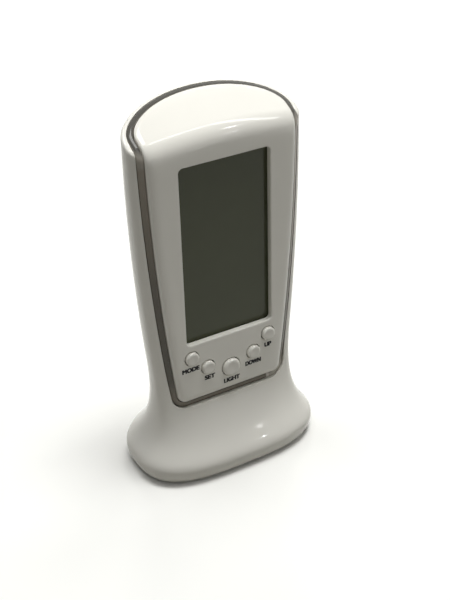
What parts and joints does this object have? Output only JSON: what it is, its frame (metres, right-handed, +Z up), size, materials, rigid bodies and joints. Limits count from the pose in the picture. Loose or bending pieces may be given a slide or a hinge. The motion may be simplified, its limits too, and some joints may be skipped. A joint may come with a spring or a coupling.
{
  "type": "weather station clock",
  "caption": "Upright white digital clock with a tall blank display window, a smoky light strip round the front, push buttons and a flared oval foot.",
  "frame": {"origin": "middle of the foot on the ground", "axes": "+Z up, front with the display towards -Y, +X to the viewer's right"},
  "size_m": [0.071, 0.044, 0.134],
  "materials": {
    "white_abs": "gloss white moulded ABS",
    "smoke_acrylic": "polished smoky clear acrylic",
    "lcd_film": "glossy grey-green polariser film",
    "display_glass": "polished glass cell",
    "clear_acrylic": "clear light panel",
    "white_film": "matt white film",
    "black_foam": "matt foam",
    "dark_rubber": "matt rubber",
    "frame_plastic": "matt moulded plastic",
    "board_green": "satin solder mask",
    "chip_black": "matt potting resin",
    "plated_steel": "bright plated steel",
    "blue_sleeve": "shrink sleeve",
    "brown_resin": "dipped resin",
    "led_white": "clear white lens",
    "switch_black": "matt moulded plastic",
    "wire_red": "vinyl insulation",
    "wire_black": "vinyl insulation"
  },
  "bodies": {
    "case": {"front_cover": "white_abs", "light_guide": "smoke_acrylic", "rear_shell": "white_abs", "base_plate": "white_abs", "rubber_feet": "dark_rubber", "base_screws": "plated_steel", "case_screws": "plated_steel", "window_gasket": "black_foam", "lcd_polariser": "lcd_film", "lcd_glass": "display_glass", "backlight_panel": "clear_acrylic", "reflector_sheet": "white_film", "lcd_frame": "frame_plastic", "zebra_strip": "dark_rubber", "main_board": "board_green", "board_screws": "plated_steel", "clock_chip": "chip_black", "quartz_crystal": "plated_steel", "capacitor": "blue_sleeve", "thermistor": "brown_resin", "backlight_leds": "led_white", "tact_switches": "switch_black", "buzzer": "switch_black", "battery_tray": "white_abs", "battery_springs": "plated_steel", "battery_contacts": "plated_steel", "battery_leads": "wire_red", "buzzer_leads": "wire_black"},
    "mode_button": {"mode_button": "white_abs"},
    "set_button": {"set_button": "white_abs"},
    "light_button": {"light_button": "white_abs"},
    "down_button": {"down_button": "white_abs"},
    "up_button": {"up_button": "white_abs"},
    "battery_door": {"battery_door": "white_abs"}
  },
  "joints": [
    {"name": "mode_press", "type": "slide", "parent": "case", "child": "mode_button", "axis": [0, 0.9986, -0.0523], "range_m": [0, 0.0008], "stiffness_N_per_m": 1200},
    {"name": "set_press", "type": "slide", "parent": "case", "child": "set_button", "axis": [0, 0.9986, -0.0523], "range_m": [0, 0.0008], "stiffness_N_per_m": 1200},
    {"name": "light_press", "type": "slide", "parent": "case", "child": "light_button", "axis": [0, 0.9986, -0.0523], "range_m": [0, 0.0008], "stiffness_N_per_m": 1200},
    {"name": "down_press", "type": "slide", "parent": "case", "child": "down_button", "axis": [0, 0.9986, -0.0523], "range_m": [0, 0.0008], "stiffness_N_per_m": 1200},
    {"name": "up_press", "type": "slide", "parent": "case", "child": "up_button", "axis": [0, 0.9986, -0.0523], "range_m": [0, 0.0008], "stiffness_N_per_m": 1200},
    {"name": "door_tilt", "type": "hinge", "parent": "case", "child": "battery_door", "pos_m": [0, 0.01379, 0.0405], "axis": [-1, 0, 0], "range_deg": [0, 75]}
  ]
}
